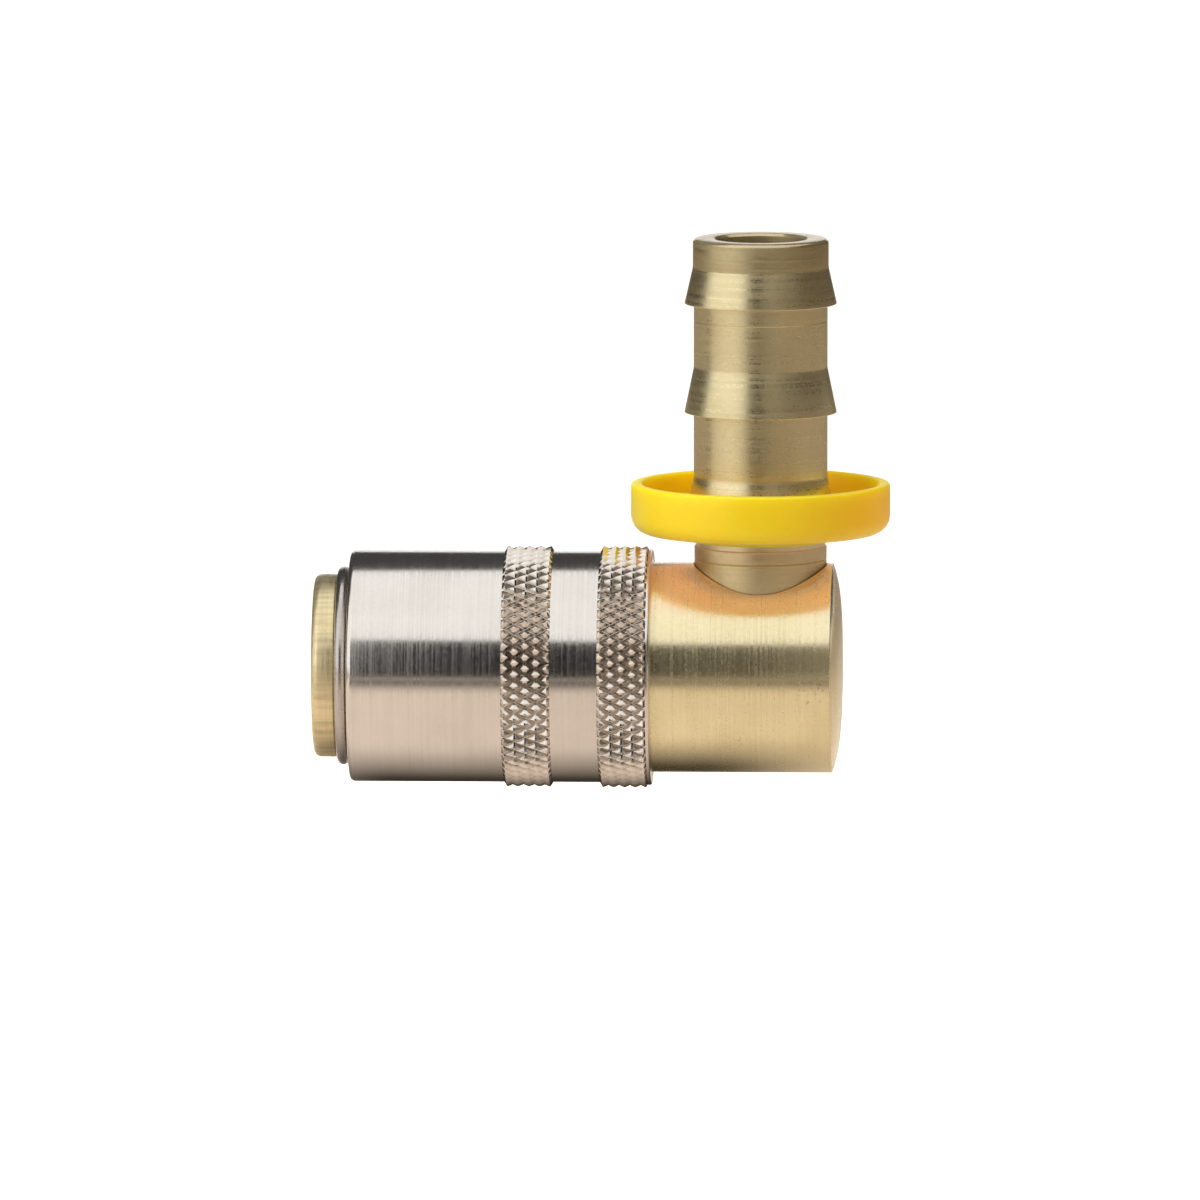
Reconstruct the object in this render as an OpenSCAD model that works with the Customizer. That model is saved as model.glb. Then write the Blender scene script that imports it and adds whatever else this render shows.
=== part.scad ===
// Right-angle ball-lock hose coupler for tubing, all sizes in millimetres.
// The origin is on the socket's axis, where its guide bore starts.
// +X runs from the nose to the elbow's heel and +Z runs up the hose stem.

/* [Plug socket] */
// Radius of the bore that guides the plug's collar.
plug_bore_r = 7.0; // [6.85:0.05:7.1]
// Length of that guide bore.
plug_bore_len = 6.2; // [5.9:0.1:7.2]
// Depth of the lead-in chamfer in front of the guide bore.
lead_in = 0.8; // [0.5:0.05:1]
// Step from the guide bore down to the bore that holds the balls.
bore_step = 0.2; // [0.1:0.05:0.3]
// Wall of the nose outside the guide bore.
nose_wall = 1.9; // [1.8:0.05:2]
// Rounding of the nose's outer front edge.
nose_round = 0.7; // [0.3:0.05:0.8]
// Length of the plain band in front of the snap ring, from the origin.
band_len = 1.45; // [1.2:0.05:1.7]

/* [Snap ring] */
// Wire thickness of the split ring that stops the sleeve.
ring_wire = 1.2; // [1:0.05:1.3]
// Depth that the ring sinks into its groove.
ring_sink = 0.45; // [0.35:0.05:0.55]
// Opening between the ring's two ends, in degrees.
ring_gap_deg = 14; // [8:1:20]

/* [Locking balls] */
// Radius of one locking ball.
ball_r = 1.5; // [1.46:0.01:1.53]
// Clearance between a ball and what surrounds it.
ball_play = 0.05; // [0.04:0.01:0.06]

/* [Release sleeve] */
// Distance that the sleeve is pulled back to let the plug go.
sleeve_travel = 3.5; // [3.2:0.05:3.7]
// Clearance of the sleeve on the parts it slides on.
slide_fit = 0.07; // [0.05:0.01:0.1]
// Wall of the sleeve around its spring.
sleeve_wall = 0.96; // [0.85:0.01:1.2]
// Rounding of the sleeve's front edge.
sleeve_round = 0.5; // [0.2:0.05:0.6]
// Length of the sleeve behind the elbow's mouth.
sleeve_cover = 7.1; // [6.9:0.05:8]
// Space for the sleeve's spring, from the land to the flange.
spring_space = 12.6; // [11.5:0.1:14]
// Wire thickness of that spring.
spring_wire = 1.0; // [0.8:0.05:1.2]
// Clearance of that spring inside and outside its wire.
spring_play = 0.195; // [0.12:0.005:0.25]
// Turns of that spring.
spring_turns = 6.5; // [5:0.5:7]

/* [Knurl] */
// Height of the knurl's points over the plain sleeve.
knurl_h = 0.5; // [0.3:0.01:0.6]
// Points in one ring of the knurl.
knurl_teeth = 64; // [48:1:72]
// Distance between neighbouring rings of points.
knurl_pitch = 1.05; // [0.9:0.01:1.1]
// Rings of points in one band, less one.
knurl_rings = 4; // [3:1:4]
// Run-out at each end of a band.
knurl_end = 0.28; // [0.2:0.01:0.4]
// Start of the front band, measured from the sleeve's rear face.
front_band = 14.37; // [13.6:0.01:16]
// Radius step of the plain rim behind the rear band.
rim_h = 0.25; // [0.15:0.01:0.28]

/* [Plug seal] */
// Thickness of the seal ring that grips the plug.
seal_cord = 1.6; // [1.5:0.05:1.7]
// How far that seal stands into the bore.
seal_squeeze = 0.35; // [0.25:0.01:0.4]
// Wall between the ball holes and the seal's groove.
seal_set = 2.4; // [2.2:0.1:3]

/* [Shut-off valve] */
// Thickness of the wall that carries the valve's seat.
web_t = 1.6; // [1.4:0.05:2]
// Radius of the hole through that wall.
seat_hole_r = 4.9; // [4.6:0.05:5]
// Width of the seat's 45 degree cone.
seat_cone = 0.7; // [0.6:0.01:0.75]
// Thickness of the valve's seal ring.
valve_cord = 1.3; // [1.2:0.02:1.4]
// Distance that a plug pushes the valve open.
valve_travel = 3.0; // [2:0.1:3.2]
// Running clearance of the valve in its two guides.
valve_fit = 0.08; // [0.05:0.01:0.1]
// Thickness of the valve's head.
head_t = 1.87; // [1.6:0.01:2.1]
// Radius of the valve's rear stem.
valve_stem_r = 1.5; // [1.2:0.05:1.6]
// Thickness of one fin of the valve.
fin_t = 1.0; // [0.8:0.05:1.3]
// Reach of the valve's nose button in front of the wall with the seat.
button_reach = 3.3; // [2.5:0.1:3.6]
// Radius of that button.
button_r = 2.2; // [1.9:0.05:2.6]
// Radius of the core between the button and the fins.
core_r = 1.6; // [1.3:0.05:1.8]
// Wire thickness of the valve's spring.
valve_wire = 0.7; // [0.5:0.05:0.8]
// Turns of the valve's spring.
valve_turns = 5.5; // [4:0.5:6]

/* [Elbow] */
// Thickness of the flange between socket and elbow.
flange_t = 1.0; // [0.9:0.05:1.3]
// Depth that the socket screws into the elbow.
thread_len = 5.2; // [4.8:0.1:6]
// Radius step from the nose down to the screwed end.
thread_step = 0.7; // [0.65:0.05:0.8]
// Thickness of the valve guide along the axis, at its rim.
guide_t = 1.6; // [1.4:0.05:2]
// Width of the valve guide's rim.
guide_rim = 1.6; // [1.2:0.05:2]
// Width of one leg of the valve guide.
leg_w = 2.0; // [1.5:0.1:2.6]
// Length of the valve guide's hub in front of the spring's seat.
guide_hub_len = 2.9; // [2:0.1:3.5]
// Gap left between the pulled-back sleeve and the hose stem.
release_gap = 0.57; // [0.4:0.01:1]
// Distance from the stem's axis to the elbow's heel.
heel_len = 7.05; // [7:0.05:9]
// Height of the heel's shallow dome.
dome_h = 0.9; // [0.5:0.05:1.2]
// Radius of the flow bore along the elbow.
flow_r = 4.7; // [4.5:0.05:4.9]
// Thickness of the seal ring between socket and elbow.
body_cord = 0.9; // [0.8:0.02:0.92]

/* [Hose stem] */
// Radius of the stem's bore.
stem_bore_r = 4.4; // [4:0.05:4.45]
// Radius of the stem between its barbs.
stem_r = 6.5; // [6.2:0.05:7]
// Step from there down to the radius that is pressed into the elbow.
root_step = 0.075; // [0.05:0.005:0.1]
// Step from there down to the neck that the collar turns on.
neck_step = 0.22; // [0.2:0.01:0.35]
// Step up to the plain lead-in at the top.
tip_step = 0.1; // [0.05:0.01:0.2]
// Height of a barb's crest over the stem.
barb_h = 0.9; // [0.6:0.05:1.1]
// Height of the shoulder under the neck, over the elbow's barrel.
shoulder_rise = 1.78; // [1.4:0.02:2.4]
// Height of the scribed line over the elbow's barrel.
scribe_rise = 0.45; // [0.3:0.05:0.8]
// Distance from one barb's crest to the next.
barb_pitch = 10.62; // [9:0.02:12]
// Length of a barb's slope.
barb_len = 4.4; // [3.5:0.05:5]
// Length of the top barb's slope.
top_barb_len = 3.55; // [3:0.05:4]
// Length of the plain lead-in over the top barb.
tip_len = 2.8; // [2.4:0.05:4]
// Rounding of the stem's top edge.
tip_round = 0.4; // [0.3:0.05:0.6]
// Height of the seat that the stem stands on, over the socket's axis.
stem_seat_z = 5.4; // [5.3:0.05:5.8]
// Depth of that scribed line.
scribe_depth = 0.08; // [0.05:0.01:0.12]

/* [Hose collar] */
// Gap from the stem's shoulder up to the collar's hub.
collar_gap = 0.6; // [0.3:0.05:1]
// Gap from the collar's floor up to the lowest barb.
barb_gap = 0.15; // [0.1:0.05:0.4]
// Outside radius of the collar.
collar_r = 12.6; // [12.2:0.05:13.5]
// Wall of the collar's rim.
collar_wall = 1.08; // [0.9:0.02:1.3]
// Height of the rim, from the floor's underside.
collar_h = 4.85; // [4:0.05:6]
// Thickness of the collar's floor.
floor_t = 1.0; // [0.8:0.05:1.3]
// Wall of the collar's hub.
hub_wall = 1.05; // [0.8:0.05:1.5]
// Height of the hub under the floor.
hub_h = 0.65; // [0.5:0.05:1.2]
// Running clearance of the collar on the stem's neck.
collar_fit = 0.07; // [0.05:0.005:0.1]
// Rounding of the collar's lower outer edge.
collar_round = 1.7; // [1.1:0.05:2]

/* [Hidden] */
rest_gap = 0.05;
press_gap = 0.02;
ball_count = 8;
ball_bore_r = plug_bore_r - bore_step;
nose_r = plug_bore_r + nose_wall;
ring_x = band_len + ring_wire / 2;
ring_mean_r = nose_r - ring_sink + ring_wire / 2;
sleeve_front = ring_x + ring_wire / 2 + rest_gap;
ball_x = plug_bore_len + 1 + ball_r;
ball_seat_r = nose_r - ball_r;
ball_lift = ball_bore_r - (nose_r - 2 * ball_r);
ball_hole_r = ball_r + ball_play;
lip_end = ball_x - ball_r - sleeve_travel;
ramp_end = ball_x + 0.2;
ramp_start = ramp_end - sleeve_travel;
land_end = ball_x + ball_r + 1.2;
land_r = nose_r + slide_fit;
relief_r = land_r + ball_lift + 0.02;
pocket_r = nose_r + spring_wire + 2 * spring_play;
elbow_r = pocket_r - slide_fit;
sleeve_r = pocket_r + sleeve_wall;
crest_r = sleeve_r + knurl_h;
flange_x = land_end + spring_space;
mouth_x = flange_x + flange_t;
body_rear = mouth_x + thread_len;
mouth_floor = body_rear + guide_t;
sleeve_rear = mouth_x + sleeve_cover;
stem_root_r = stem_r - root_step;
neck_r = stem_r - neck_step;
tip_r = stem_r + tip_step;
barb_r = stem_r + barb_h;
stem_x = sleeve_rear + sleeve_travel + stem_root_r + release_gap;
heel_x = stem_x + heel_len;
spring_mean_r = (pocket_r + nose_r) / 2;
flange_r = elbow_r - 0.22;
groove_x = ball_x + ball_r + seal_set;
groove_w = seal_cord + 0.6;
seal_x = groove_x + groove_w / 2;
seal_mean_r = ball_bore_r - seal_squeeze + seal_cord / 2;
web_x = groove_x + groove_w + 1.4;
chamber_x = web_x + web_t;
chamber_r = plug_bore_r;
thread_r = nose_r - thread_step;
mouth_r = thread_r + rest_gap;
valve_seal_r = seat_hole_r + 0.3;
valve_seal_x = chamber_x - seat_cone + 0.3 + sqrt(2) * (valve_cord / 2 + 0.03);
head_x = valve_seal_x + valve_cord / 2 + press_gap;
head_rear = head_x + head_t;
button_x = web_x - button_reach;
head_r = seat_hole_r + 1;
fin_r = seat_hole_r - valve_fit;
guide_bore_r = valve_stem_r + valve_fit - 0.02;
guide_hub_r = guide_bore_r + 1.04;
guide_seat_r = guide_hub_r + 1.4;
guide_seat_x = body_rear - 0.8;
leg_x = body_rear + rest_gap / 2;
guide_rear = mouth_floor - rest_gap / 2;
guide_front = guide_seat_x - guide_hub_len;
valve_spring_r = guide_hub_r + 0.25 + valve_wire / 2;
scribe_z = elbow_r + scribe_rise;
shoulder_z = elbow_r + shoulder_rise;
collar_z = shoulder_z + collar_gap;
collar_bore_r = neck_r + collar_fit;
hub_r = collar_bore_r + hub_wall;
floor_z = collar_z + hub_h;
floor_top = floor_z + floor_t;
collar_fillet = collar_round - floor_t;
barb_z = floor_top + barb_gap;
top_crest_z = barb_z + 2 * barb_pitch;
tip_z = top_crest_z + top_barb_len;
stem_top = tip_z + tip_len;

// A shape turned about the socket's axis, from points of radius and X.
module turned(points) {
    rotate([0, 90, 0]) rotate_extrude() polygon(points);
}

// A seal ring about the socket's axis.
module ring_seal(x, mean_r, cord) {
    translate([x, 0, 0]) rotate([0, 90, 0]) rotate_extrude()
        translate([mean_r, 0]) circle(r = cord / 2);
}

// Points on a quarter round, from angle a to angle b about a centre.
function round_points(cx, cy, r, a, b, n) =
    [for (i = [0 : n]) [cx + r * cos(a + (b - a) * i / n), cy + r * sin(a + (b - a) * i / n)]];

// The closed faces of a stack of rings, each ring with m points.
function stack_faces(rings, m) = concat(
    [[for (j = [0 : m - 1]) j]],
    [for (i = [0 : rings - 2]) for (j = [0 : m - 1]) let(
        a = i * m + j,
        b = i * m + (j + 1) % m,
        c = a + m,
        d = b + m
    ) each ((i + j) % 2 == 0 ? [[a, c, d], [a, d, b]] : [[a, c, b], [b, c, d]])],
    [[for (j = [m - 1 : -1 : 0]) (rings - 1) * m + j]]
);

// One band of the diamond knurl, as a solid drum about the socket's axis.
// Each entry of tail is a plain ring behind the band, as an X offset and a radius.
module knurl_drum(x0, tail) {
    m = 2 * knurl_teeth;
    low_r = sleeve_r + 0.03;
    band = [for (i = [0 : knurl_rings]) [x0 + knurl_end + i * knurl_pitch, i]];
    tail_rings = [for (t = tail) [x0 + knurl_end + knurl_rings * knurl_pitch + t[0], t[1]]];
    points = concat(
        [for (j = [0 : m - 1]) [x0, low_r * cos(360 * j / m), low_r * sin(360 * j / m)]],
        [for (b = band) for (j = [0 : m - 1]) let(
            r = (b[1] + j) % 2 == 0 ? low_r : crest_r
        ) [b[0], r * cos(360 * j / m), r * sin(360 * j / m)]],
        [for (t = tail_rings) for (j = [0 : m - 1])
            [t[0], t[1] * cos(360 * j / m), t[1] * sin(360 * j / m)]]
    );
    polyhedron(points = points, faces = stack_faces(1 + len(band) + len(tail), m), convexity = 4);
}

// A coil spring along X, with its end turns closed against both seats.
module coil(x0, x1, mean_r, wire, turns) {
    sides = 8;
    per_turn = 24;
    steps = round(turns * per_turn);
    wire_r = wire / 2;
    span = x1 - x0 - wire;
    closed = 0.85;
    lift = wire * 1.02;
    open_span = span - 2 * lift * closed;
    centres = [for (i = [0 : steps]) let(
        t = turns * i / steps,
        x = t < closed ? t * lift
            : t > turns - closed ? span - (turns - t) * lift
            : closed * lift + open_span * (t - closed) / (turns - 2 * closed)
    ) [x0 + wire_r + x, 360 * t]];
    points = [for (c = centres) for (k = [0 : sides - 1]) let(
        r = mean_r + wire_r * cos(360 * k / sides)
    ) [c[0] + wire_r * sin(360 * k / sides), r * cos(c[1]), r * sin(c[1])]];
    faces = concat(
        [[for (k = [0 : sides - 1]) k]],
        [for (i = [0 : steps - 1]) for (k = [0 : sides - 1]) let(
            a = i * sides + k,
            b = i * sides + (k + 1) % sides
        ) each [[a, a + sides, b + sides], [a, b + sides, b]]],
        [[for (k = [sides - 1 : -1 : 0]) steps * sides + k]]
    );
    polyhedron(points = points, faces = faces, convexity = 10);
}

// Turned brass socket, with eight ball holes, a seal groove and the valve's seat.
module socket_body() color([0.80, 0.66, 0.36]) difference() {
    turned(concat(
        [[plug_bore_r, 0], [plug_bore_r + lead_in * 0.75, -lead_in]],
        round_points(nose_r - nose_round, -lead_in + nose_round, nose_round, -90, 0, 6),
        [[nose_r, band_len - 0.17], [nose_r - 0.15, band_len - 0.02],
        [nose_r - ring_sink - press_gap, band_len - 0.02],
        [nose_r - ring_sink - press_gap, band_len + ring_wire + 0.02],
        [nose_r, band_len + ring_wire + 0.02], [nose_r, flange_x], [flange_r, flange_x],
        [flange_r, mouth_x], [thread_r, mouth_x], [thread_r, body_rear - 0.4],
        [thread_r - 0.4, body_rear], [chamber_r, body_rear], [chamber_r, chamber_x],
        [seat_hole_r + seat_cone, chamber_x], [seat_hole_r, chamber_x - seat_cone],
        [seat_hole_r, web_x], [ball_bore_r, web_x], [ball_bore_r, groove_x + groove_w],
        [seal_mean_r + seal_cord / 2 + rest_gap, groove_x + groove_w],
        [seal_mean_r + seal_cord / 2 + rest_gap, groove_x], [ball_bore_r, groove_x],
        [ball_bore_r, plug_bore_len]], [[plug_bore_r, plug_bore_len]]
    ));
    for (k = [0 : ball_count - 1]) rotate([360 * (k + 0.5) / ball_count, 0, 0])
        translate([ball_x, 0, 0]) ball_hole();
}

// The stepped hole of one ball, which is narrower inside so the ball stays in.
module ball_hole() {
    top_r = ball_seat_r;
    slope = 0.27;
    translate([0, 0, top_r - 1.2]) cylinder(r1 = ball_hole_r - 1.2 * slope, r2 = ball_hole_r, h = 1.2);
    translate([0, 0, top_r - 0.001]) cylinder(r = ball_hole_r, h = nose_r - top_r + 0.5);
}

// One locking ball, standing locked under the sleeve's land.
module locking_ball(k) {
    color([0.78, 0.79, 0.80]) rotate([360 * (k - 0.5) / ball_count, 0, 0])
        translate([ball_x, 0, ball_seat_r]) sphere(r = ball_r);
}
module locking_ball_1() locking_ball(1);
module locking_ball_2() locking_ball(2);
module locking_ball_3() locking_ball(3);
module locking_ball_4() locking_ball(4);
module locking_ball_5() locking_ball(5);
module locking_ball_6() locking_ball(6);
module locking_ball_7() locking_ball(7);
module locking_ball_8() locking_ball(8);

// Split wire ring that the sleeve's front face rests against.
module snap_ring() color([0.62, 0.62, 0.63]) translate([ring_x, 0, 0]) rotate([0, 90, 0])
    rotate([0, 0, 90 + ring_gap_deg / 2]) rotate_extrude(angle = 360 - ring_gap_deg)
        translate([ring_mean_r, 0]) circle(r = ring_wire / 2);

// Release sleeve: two knurled bands outside, and inside a lip, a relief for the
// balls, a release ramp, a locking land and a pocket for the spring.
module sleeve() color([0.80, 0.77, 0.73]) difference() {
    union() {
        turned(concat(
            [[0, sleeve_front]],
            round_points(sleeve_r - sleeve_round, sleeve_front + sleeve_round, sleeve_round, -90, 0, 5),
            [[sleeve_r, sleeve_rear - 0.6], [0, sleeve_rear - 0.6]]
        ));
        knurl_drum(sleeve_rear - front_band, [[knurl_end, sleeve_r + 0.03]]);
        knurl_drum(sleeve_rear - 0.37 - knurl_end - knurl_rings * knurl_pitch,
            [[0.12, sleeve_r + rim_h], [0.25, sleeve_r + rim_h], [0.37, sleeve_r + 0.08]]);
    }
    turned([[0, sleeve_front - 1], [land_r + 0.25, sleeve_front - 1], [land_r + 0.25, sleeve_front],
        [land_r, sleeve_front + 0.25], [land_r, lip_end], [relief_r, lip_end],
        [relief_r, ramp_start], [land_r, ramp_end], [land_r, land_end], [pocket_r, land_end],
        [pocket_r, sleeve_rear - 0.3], [pocket_r + 0.3, sleeve_rear],
        [pocket_r + 0.3, sleeve_rear + 1], [0, sleeve_rear + 1]]);
}

// Spring between the sleeve's land and the socket's flange.
module sleeve_spring() color([0.55, 0.56, 0.58])
    coil(land_end + press_gap, flange_x - press_gap, spring_mean_r, spring_wire, spring_turns);

// Seal ring that closes on the plug.
module plug_seal() color([0.10, 0.10, 0.11]) ring_seal(seal_x, seal_mean_r, seal_cord);

// Shut-off valve, with a nose button, guide fins, a grooved head and a rear stem.
module poppet() color([0.76, 0.62, 0.34]) union() {
    turned([[0, head_rear], [head_r - 0.3, head_rear], [head_r, head_rear - 0.3], [head_r, head_x],
        [valve_seal_r - valve_cord / 2 - press_gap, head_x],
        [valve_seal_r - valve_cord / 2 - press_gap, valve_seal_x - valve_cord / 2 - rest_gap],
        [fin_r, valve_seal_x - valve_cord / 2 - rest_gap],
        [fin_r, valve_seal_x - valve_cord / 2 - rest_gap - 0.45],
        [core_r, valve_seal_x - valve_cord / 2 - rest_gap - 1.4], [core_r, button_x + 0.5],
        [button_r, button_x + 0.5], [button_r, button_x + 0.2], [button_r - 0.2, button_x],
        [0, button_x]]);
    turned([[0, head_rear - 1], [valve_stem_r, head_rear - 1], [valve_stem_r, guide_seat_x - 0.1],
        [valve_stem_r - 0.3, guide_seat_x + 0.2], [0, guide_seat_x + 0.2]]);
    for (a = [0, 90]) rotate([a, 0, 0]) poppet_fin();
}

// One pair of opposite fins, turned on the outside to run in the seat's hole.
module poppet_fin() {
    fin_rear = valve_seal_x - valve_cord / 2 - rest_gap - 0.3;
    fin_front = button_x + 0.5;
    intersection() {
        translate([fin_front, -fin_t / 2, -fin_r - 1]) cube([fin_rear - fin_front, fin_t, 2 * fin_r + 2]);
        turned([[0, fin_front], [fin_r - 0.8, fin_front], [fin_r, fin_front + 0.8], [fin_r, fin_rear],
            [0, fin_rear]]);
    }
}

// Seal ring in the valve's head, resting on the seat's cone.
module poppet_seal() color([0.10, 0.10, 0.11]) ring_seal(valve_seal_x, valve_seal_r, valve_cord);

// Spring that shuts the valve.
module valve_spring() color([0.60, 0.61, 0.63])
    coil(head_rear + press_gap, guide_seat_x - press_gap, valve_spring_r, valve_wire, valve_turns);

// Guide of the valve's stem, held between the socket's end and the elbow's mouth.
module valve_guide() color([0.74, 0.60, 0.33]) difference() {
    union() {
        turned([[mouth_r - guide_rim, leg_x], [mouth_r - rest_gap, leg_x],
            [mouth_r - rest_gap, guide_rear], [mouth_r - guide_rim, guide_rear]]);
        turned([[0, guide_front], [guide_hub_r - 0.3, guide_front], [guide_hub_r, guide_front + 0.3],
            [guide_hub_r, guide_seat_x], [guide_seat_r, guide_seat_x],
            [guide_seat_r, guide_rear], [0, guide_rear]]);
        for (a = [0, 120, 240]) rotate([a, 0, 0]) guide_leg();
    }
    translate([guide_front - 1, 0, 0]) rotate([0, 90, 0])
        cylinder(r = guide_bore_r, h = mouth_floor - guide_front + 2);
}

// One leg of the valve guide.
module guide_leg() {
    translate([leg_x, -leg_w / 2, guide_seat_r - 0.5])
        cube([guide_rear - leg_x, leg_w, mouth_r - guide_rim / 2 - guide_seat_r + 0.2]);
}

// Seal ring in the corner between the socket's flange and the elbow's mouth.
module body_seal() color([0.10, 0.10, 0.11])
    ring_seal(mouth_x + body_cord / 2 + 0.02, thread_r + body_cord / 2 + 0.02, body_cord);

// Elbow: a bored barrel with a shallow domed heel and a cross hole for the stem.
module elbow_body() color([0.82, 0.68, 0.38]) difference() {
    turned(concat(
        [[0, mouth_x], [elbow_r, mouth_x]],
        [for (i = [10 : -1 : 0]) [elbow_r * i / 10, heel_x + dome_h * (1 - pow(i / 10, 4))]]
    ));
    turned([[0, mouth_x - 1], [thread_r + 0.06 + 1.707 * body_cord, mouth_x - 1],
        [thread_r + 0.06 + 1.707 * body_cord, mouth_x],
        [mouth_r, mouth_x + 1.707 * body_cord + 0.06 - rest_gap],
        [mouth_r, mouth_floor], [flow_r, mouth_floor], [flow_r, stem_x + stem_bore_r + 0.2],
        [0, stem_x + stem_bore_r + 0.2]]);
    translate([stem_x, 0, 0]) cylinder(r = stem_bore_r, h = stem_seat_z + 1);
    translate([stem_x, 0, stem_seat_z]) cylinder(r = stem_root_r + press_gap, h = elbow_r);
}

// Barbed hose stem, pressed into the elbow.
module hose_stem() color([0.72, 0.60, 0.36]) translate([stem_x, 0, 0]) rotate_extrude() polygon(concat(
    [[stem_bore_r, stem_seat_z], [stem_root_r - 0.3, stem_seat_z],
    [stem_root_r, stem_seat_z + 0.3], [stem_root_r, scribe_z - 0.12],
    [stem_root_r - scribe_depth, scribe_z], [stem_root_r, scribe_z + 0.12],
    [stem_root_r, shoulder_z - 0.1], [neck_r + 0.045, shoulder_z], [neck_r, shoulder_z],
    [neck_r, barb_z], [barb_r, barb_z], [barb_r, barb_z + 0.15],
    [stem_r, barb_z + barb_len], [stem_r, barb_z + barb_pitch],
    [barb_r, barb_z + barb_pitch], [barb_r, barb_z + barb_pitch + 0.15],
    [stem_r, barb_z + barb_pitch + barb_len], [stem_r, top_crest_z],
    [barb_r, top_crest_z], [barb_r, top_crest_z + 0.15], [tip_r, tip_z]],
    round_points(tip_r - tip_round, stem_top - tip_round, tip_round, 0, 90, 5),
    [[stem_bore_r + 0.2, stem_top], [stem_bore_r, stem_top - 0.4]]
));

// Collar that hides the hose's cut end, turning freely between the shoulder and the lowest barb.
module hose_collar() color([0.95, 0.80, 0.18]) translate([stem_x, 0, 0]) rotate_extrude() polygon(concat(
    [[collar_bore_r, collar_z], [hub_r - 0.2, collar_z], [hub_r, collar_z + 0.2],
    [hub_r, floor_z]],
    round_points(collar_r - collar_round, floor_z + collar_round, collar_round, -90, 0, 6),
    [[collar_r, floor_z + collar_h - 0.25], [collar_r - 0.25, floor_z + collar_h],
    [collar_r - collar_wall + 0.2, floor_z + collar_h], [collar_r - collar_wall, floor_z + collar_h - 0.2]],
    round_points(collar_r - collar_wall - collar_fillet, floor_top + collar_fillet, collar_fillet, 0, -90, 3),
    [[collar_bore_r, floor_top]]
));

socket_body();
elbow_body();
hose_stem();
hose_collar();
sleeve();
snap_ring();
locking_ball_1();
locking_ball_2();
locking_ball_3();
locking_ball_4();
locking_ball_5();
locking_ball_6();
locking_ball_7();
locking_ball_8();
sleeve_spring();
plug_seal();
poppet();
poppet_seal();
valve_spring();
valve_guide();
body_seal();
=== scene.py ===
import math

import bmesh
import bpy
from mathutils import Matrix, Vector


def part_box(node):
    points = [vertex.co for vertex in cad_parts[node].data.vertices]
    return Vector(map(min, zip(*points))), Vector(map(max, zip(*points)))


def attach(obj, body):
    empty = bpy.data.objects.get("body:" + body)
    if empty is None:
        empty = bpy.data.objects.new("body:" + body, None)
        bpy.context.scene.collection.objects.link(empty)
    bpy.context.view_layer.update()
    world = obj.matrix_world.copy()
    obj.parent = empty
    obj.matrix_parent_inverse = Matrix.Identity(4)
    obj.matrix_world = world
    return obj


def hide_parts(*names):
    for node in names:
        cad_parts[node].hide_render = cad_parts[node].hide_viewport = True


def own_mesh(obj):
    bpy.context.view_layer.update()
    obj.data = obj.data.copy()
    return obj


MM = 0.001
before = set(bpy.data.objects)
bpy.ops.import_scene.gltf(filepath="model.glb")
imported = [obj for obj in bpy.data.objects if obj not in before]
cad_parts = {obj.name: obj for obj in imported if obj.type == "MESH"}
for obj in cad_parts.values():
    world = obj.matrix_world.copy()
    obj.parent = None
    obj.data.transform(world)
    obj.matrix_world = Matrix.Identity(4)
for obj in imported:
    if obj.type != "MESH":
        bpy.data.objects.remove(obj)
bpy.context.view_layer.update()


# Socket body: free-cutting brass, turned from bar with a rounded nose, a groove for the
# snap ring, eight ball holes, a seal groove and the valve's seat. The file's shared way of
# turning a piece and of giving it lathe marks starts here.
def turned(outline, steps=256, segments=4):
    """A lathe piece from (along, radius, rounding) points, closed unless it starts on the axis."""
    mesh = bmesh.new()
    corners = [mesh.verts.new((along * MM, 0, radius * MM)) for along, radius, _ in outline]
    for start, end in zip(corners, corners[1:]):
        mesh.edges.new((start, end))
    if outline[0][1] > 0:
        mesh.edges.new((corners[-1], corners[0]))
    for size in sorted({rounding for _, _, rounding in outline if rounding > 0}):
        rounded = [v for v, point in zip(corners, outline) if point[2] == size]
        bmesh.ops.bevel(mesh, geom=rounded, offset=size * MM, offset_type="OFFSET",
                        affect="VERTICES", segments=segments, profile=0.5, material=-1,
                        clamp_overlap=True)
    bmesh.ops.spin(mesh, geom=mesh.verts[:] + mesh.edges[:], cent=(0, 0, 0), axis=(1, 0, 0),
                   dvec=(0, 0, 0), angle=2 * math.pi, steps=steps, use_merge=True)
    bmesh.ops.remove_doubles(mesh, verts=mesh.verts[:], dist=1e-7)
    bmesh.ops.recalc_face_normals(mesh, faces=mesh.faces[:])
    return mesh


def finished(mesh, name, material, crease=math.radians(33)):
    """Turns a bmesh into a shown piece, smooth but for its creases."""
    for edge in mesh.edges:
        edge.smooth = not (len(edge.link_faces) == 2 and edge.calc_face_angle() > crease)
    for face in mesh.faces:
        face.smooth = True
    data = bpy.data.meshes.new(name)
    mesh.to_mesh(data)
    mesh.free()
    data.materials.append(material)
    piece = bpy.data.objects.new(name, data)
    bpy.context.scene.collection.objects.link(piece)
    return piece


def cut_away(mesh, cutters):
    """Bores the cutters' shapes out of a bmesh and returns what is left."""
    plain = bpy.data.materials.new("cutting")
    work = finished(mesh, "work", plain)
    for cutter in cutters:
        tool = finished(cutter, "tool", plain)
        bore = work.modifiers.new("bore", "BOOLEAN")
        bore.operation = "DIFFERENCE"
        bore.solver = "EXACT"
        bore.object = tool
    graph = bpy.context.evaluated_depsgraph_get()
    result = bmesh.new()
    result.from_object(work, graph)
    for modifier in list(work.modifiers):
        bpy.data.objects.remove(modifier.object)
    bpy.data.objects.remove(work)
    bpy.data.materials.remove(plain)
    return result


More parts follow.
